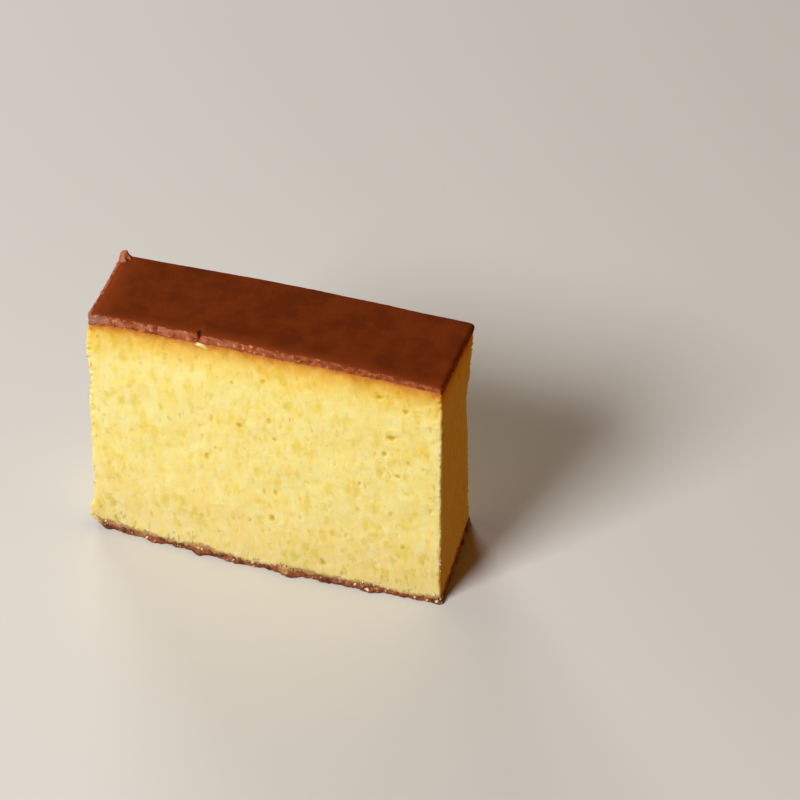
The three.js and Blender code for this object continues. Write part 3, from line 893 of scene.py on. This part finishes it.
# ---------------------------------------------------------------------------------------------
# Crumbs: bits of sponge and crust that the knife tore off, still clinging along the foot and the
# upright edges. They are dry, and each is a rough little ball with its own turn and size.
# ---------------------------------------------------------------------------------------------
# The larger crumbs along the front foot, by their places from the slab's middle.
FOOT_CRUMBS = [
    {"x": -47.2, "z": 2.6, "size": 0.9},
    {"x": -34.7, "z": 0.8, "size": 1.2},
    {"x": -18.9, "z": 1.9, "size": 0.8},
    {"x": -2.7, "z": 1.2, "size": 0.9},
    {"x": 27.3, "z": 1.2, "size": 0.9},
    {"x": 31.0, "z": 0.8, "size": 1.2},
    {"x": 33.8, "z": 0.6, "size": 0.8},
    {"x": 44.4, "z": 0.8, "size": 0.9},
    {"x": 47.8, "z": 0.7, "size": 1.0},
    {"x": 50.6, "z": 0.9, "size": 1.1},
]
# How many smaller ones cling to each side of the foot: front, back, left and right.
FINE_CRUMBS = {(0, -1): 110, (0, 1): 90, (-1, 0): 35, (1, 0): 35}
FINE_CRUMB = {"least": 0.25, "most": 0.9, "highest": 3.0}
# And on each of the four upright edges, still finer, along the frayed cut.
EDGE_CRUMBS = 45
EDGE_CRUMB = {"least": 0.2, "most": 0.5, "lowest": 4.0, "highest": HEIGHT - 6.0}
CRUMB_SEED = 51
CRUMB_SUNK = 0.15

# Each ball is stretched between its rule's squash and this, and turned any way round.
MOST_STRETCH = 1.1
FULL_TURN = 6.28

BIT = {"pale": paint("#E6D6B0"), "brown": paint("#8C5030"), "shaded": paint("#C8A874")}
BIT_GRAIN = 0.1


def cling(x, y, z):
    """Crumbs lie on the foot's crust, or on the sponge above it."""
    return np.maximum(foot_relief(x, y, z) * (z < BASE_CRUST), sponge_relief(x, y, z)) - CRUMB_SUNK


def place_crumbs():
    """The crumbs' places, sizes and shares of brown, with the large ones first. Most are small."""
    draw = np.random.default_rng(CRUMB_SEED)
    shares = [(crumb["x"] / BASE_LENGTH + 0.5, 0.0, 0.0) for crumb in FOOT_CRUMBS]
    sides = [(0, -1, 0)] * len(FOOT_CRUMBS)
    heights = [crumb["z"] for crumb in FOOT_CRUMBS]
    sizes = [crumb["size"] for crumb in FOOT_CRUMBS]
    for side, count in FINE_CRUMBS.items():
        for along in draw.uniform(0, 1, count):
            shares.append((along, (side[1] + 1) / 2, 0) if side[1] else ((side[0] + 1) / 2, along, 0))
            sides.append((*side, 0))
            heights.append(FINE_CRUMB["highest"] * draw.uniform() ** 0.6)
            sizes.append(lerp(FINE_CRUMB["least"], FINE_CRUMB["most"], draw.uniform() ** 2))
    for end in (0, 1):
        for face in (0, 1):
            for high in draw.uniform(EDGE_CRUMB["lowest"], EDGE_CRUMB["highest"], EDGE_CRUMBS):
                shares.append((end, face, 0))
                sides.append((2 * end - 1, 2 * face - 1, 0))
                heights.append(high)
                sizes.append(lerp(EDGE_CRUMB["least"], EDGE_CRUMB["most"], draw.uniform() ** 2))
    points = between_walls(np.array(shares), np.array(sides), np.array(heights), cling)
    browns = draw.uniform(0, 1, len(points)) * hump(np.array(heights), 2 * BASE_CRUST)
    browns[:len(FOOT_CRUMBS)] = 0
    return points, np.array(sizes), browns


def make_crumb_rule():
    """Sets a rough little ball on every point, as wide as the point's size says."""
    tree, given = start_rule("clinging crumbs", Squash=0.6)
    ball = add_node(tree, "GeometryNodeMeshIcoSphere", {"Radius": 0.5 * MM, "Subdivisions": 2})
    smooth = add_node(tree, "GeometryNodeSetShadeSmooth", {"Geometry": ball.outputs[0]})
    low = add_node(tree, "ShaderNodeCombineXYZ", dict.fromkeys(range(3), given["Squash"]))
    stretch = add_node(tree, "FunctionNodeRandomValue", {
        0: low.outputs[0], 1: (MOST_STRETCH,) * 3, "Seed": 1,
    }, data_type="FLOAT_VECTOR").outputs[0]
    turn = add_node(tree, "FunctionNodeRandomValue", {
        0: (0.0, 0.0, 0.0), 1: (FULL_TURN,) * 3, "Seed": 2,
    }, data_type="FLOAT_VECTOR").outputs[0]
    size = add_node(tree, "GeometryNodeInputNamedAttribute", {"Name": "size"}, data_type="FLOAT").outputs[0]
    crumbs = add_node(tree, "GeometryNodeInstanceOnPoints", {
        "Points": given["Geometry"],
        "Instance": smooth.outputs[0],
        "Rotation": turn,
        "Scale": vector_calc(tree, "SCALE", stretch, size),
    })
    return end_rule(tree, crumbs.outputs[0], given["Material"])


def make_bit_material():
    material, tree, shader, place = new_material(
        "clinging crumb", Roughness=0.85, Specular_IOR_Level=0.2, Subsurface_Weight=0.6,
        Subsurface_Radius=(1.0, 0.7, 0.35), Subsurface_Scale=0.8 * MM,
    )
    colour = mix(tree, attribute(tree, "brown"), BIT["pale"], BIT["brown"])
    colour = mix(tree, map_range(tree, noise(tree, place, 0.5), 0.45, 0.7, 0.0, 0.6), colour, BIT["shaded"])
    tree.links.new(colour, shader.inputs["Base Color"])
    add_bump(tree, shader, noise(tree, place, 0.3), BIT_GRAIN)
    return material


bit_material = make_bit_material()
crumb_points, crumb_sizes, crumb_browns = place_crumbs()
crumbs = add_piece("crumbs", crumb_points, np.zeros((0, 4), int), size=crumb_sizes, brown=crumb_browns)
add_rule(crumbs, make_crumb_rule(), squash=0.6, material=bit_material)
add_rule(crumbs, roughen_rule, depth=0.2, flat_depth=0.2, span=0.5, detail=1.0, material=bit_material)
bake(crumbs)
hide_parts("castella_slice")
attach(crumbs, "root")

# ---------------------------------------------------------------------------------------------
# The stage: a plain pale floor, one broad soft lamp from the front left, a weaker one from behind,
# and a dim amber light on the shaded end.
# ---------------------------------------------------------------------------------------------
FLOOR_SIZE = 6.0
FLOOR_DROP = 0.02 * MM
FLOOR_COLOUR = (0.6, 0.59, 0.57, 1)
SURROUND = {"colour": (1.0, 0.5, 0.12, 1), "strength": 0.07}


def sky_place(azimuth, elevation, distance):
    """A place seen from the middle of the floor. Azimuth 0 is in front, and 90 to the right."""
    turn, rise = math.radians(azimuth), math.radians(elevation)
    level = math.cos(rise)
    return distance * Vector((math.sin(turn) * level, -math.cos(turn) * level, math.sin(rise)))


def aimed(place, target):
    turn = (Vector(target) - Vector(place)).to_track_quat("-Z", "Y")
    return Matrix.Translation(place) @ turn.to_matrix().to_4x4()


bpy.ops.mesh.primitive_plane_add(size=FLOOR_SIZE, location=(0, 0, -FLOOR_DROP))
floor = bpy.context.object
floor.name = "floor"
floor.data.materials.append(new_material("pale floor", Base_Color=FLOOR_COLOUR, Roughness=0.6)[0])
# The floor neither lights the slice from below nor is mirrored in it.
floor.visible_diffuse = False
floor.visible_glossy = False

surround = bpy.data.worlds.new("surround")
surround.use_nodes = True
surround.node_tree.nodes["Background"].inputs["Color"].default_value = SURROUND["colour"]
surround.node_tree.nodes["Background"].inputs["Strength"].default_value = SURROUND["strength"]
bpy.context.scene.world = surround

LAMPS = [
    {"name": "soft lamp", "from": (-27, 42, 1.4), "size": 0.55, "watts": 24.8, "colour": (1.0, 0.99, 0.97)},
    {"name": "back fill", "from": (-145, 20, 1.5), "size": 0.6, "watts": 14.0, "colour": (1.0, 0.97, 0.93)},
    {"name": "low amber fill", "from": (88, 9, 0.8), "size": 0.2, "watts": 0.9, "colour": (1.0, 0.36, 0.06)},
]
LAMP_AIM = (0, 0, 0.04)


def add_lamp(lamp):
    light = bpy.data.lights.new(lamp["name"], "AREA")
    light.energy = lamp["watts"]
    light.size = lamp["size"]
    light.color = lamp["colour"]
    stand = bpy.data.objects.new(lamp["name"], light)
    stand.matrix_world = aimed(sky_place(*lamp["from"]), LAMP_AIM)
    bpy.context.scene.collection.objects.link(stand)
    return stand


stands = {lamp["name"]: add_lamp(lamp) for lamp in LAMPS}
# The light from behind leaves no glare on the top.
stands["back fill"].visible_glossy = False

# The camera stands far off to the right and looks down on the slice, as a long lens does.
AIM = Vector((34.24, 3.58, 52.63)) * MM
VIEW = {"azimuth": 18.6, "elevation": 40.52, "distance": 0.7776, "roll": -0.43}
LENS = 130.5
SENSOR = 36

camera = bpy.data.cameras.new("camera")
camera.lens = LENS
camera.sensor_width = SENSOR
camera_stand = bpy.data.objects.new("camera", camera)
eye = AIM + sky_place(VIEW["azimuth"], VIEW["elevation"], VIEW["distance"])
camera_stand.matrix_world = aimed(eye, AIM) @ Matrix.Rotation(math.radians(VIEW["roll"]), 4, "Z")
bpy.context.scene.collection.objects.link(camera_stand)
bpy.context.scene.camera = camera_stand
bpy.context.scene.view_settings.view_transform = "Standard"
